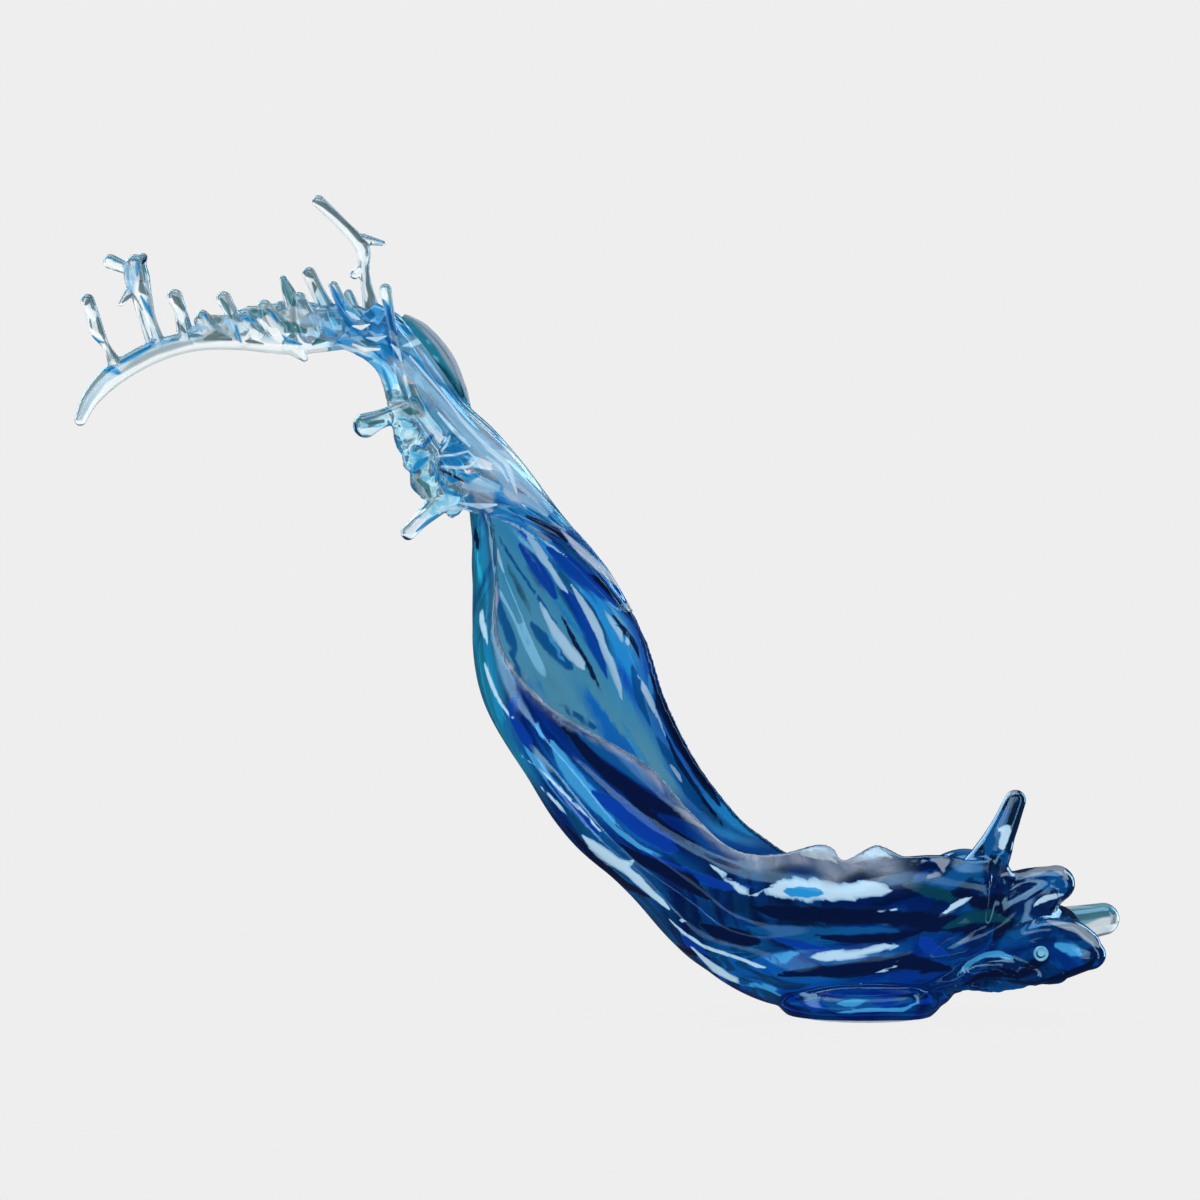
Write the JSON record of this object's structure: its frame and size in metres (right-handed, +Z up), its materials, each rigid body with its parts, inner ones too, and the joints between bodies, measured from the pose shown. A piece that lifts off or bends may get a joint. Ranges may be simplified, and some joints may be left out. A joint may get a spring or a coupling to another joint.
{
  "type": "resin wave sculpture",
  "caption": "Free-standing sculpture of a curling wave in glossy tinted clear resin: deep blue open trough, pale ribbon neck and a long clear arm with drips, on a small flat foot.",
  "frame": {"origin": "on the resting plane, under the middle of the foot", "axes": "+X along the wave from the curling crest to the fingered tail, +Y away from the side that the picture shows, +Z up"},
  "size_m": [0.6262, 0.1086, 0.4932],
  "materials": {
    "navy_resin": "gloss",
    "teal_resin": "gloss",
    "lilac_resin": "gloss",
    "azure_resin": "gloss",
    "clear_resin": "gloss",
    "dowel_acrylic": "gloss",
    "silicone": "satin"
  },
  "bodies": {
    "root": {"antler_brace": "clear_resin", "antler_drip": "clear_resin", "antler_ear_left": "clear_resin", "antler_ear_right": "clear_resin", "antler_spur": "clear_resin", "arm_bud": "clear_resin", "arm_pin": "dowel_acrylic", "back_sheet": "teal_resin", "bead_drip": "navy_resin", "crest_arm": "clear_resin", "crest_fin": "teal_resin", "crown_knot": "lilac_resin", "crown_spike_back": "clear_resin", "crown_spike_blue": "azure_resin", "crown_spike_pale": "clear_resin", "crown_web": "clear_resin", "cuff_frill": "azure_resin", "cuff_knob_lower": "navy_resin", "cuff_knob_upper": "azure_resin", "foot_block": "navy_resin", "foot_pad": "silicone", "neck_ribbon": "lilac_resin", "palm_pin_1": "dowel_acrylic", "palm_pin_2": "dowel_acrylic", "seam_pin_1": "dowel_acrylic", "seam_pin_2": "dowel_acrylic", "seam_pin_3": "dowel_acrylic", "short_drip_inner": "clear_resin", "short_drip_outer": "clear_resin", "splash_bud": "clear_resin", "splash_spur": "clear_resin", "tail_finger_clear": "clear_resin", "tail_finger_low": "navy_resin", "tail_finger_middle": "navy_resin", "tail_finger_pin": "dowel_acrylic", "tail_finger_tall": "navy_resin", "tail_lock_pin": "dowel_acrylic", "tail_palm": "navy_resin", "tall_splash": "clear_resin", "tip_drip": "clear_resin", "trough_shell": "navy_resin", "under_cusp": "clear_resin", "web_spike": "clear_resin"}
  },
  "joints": []
}
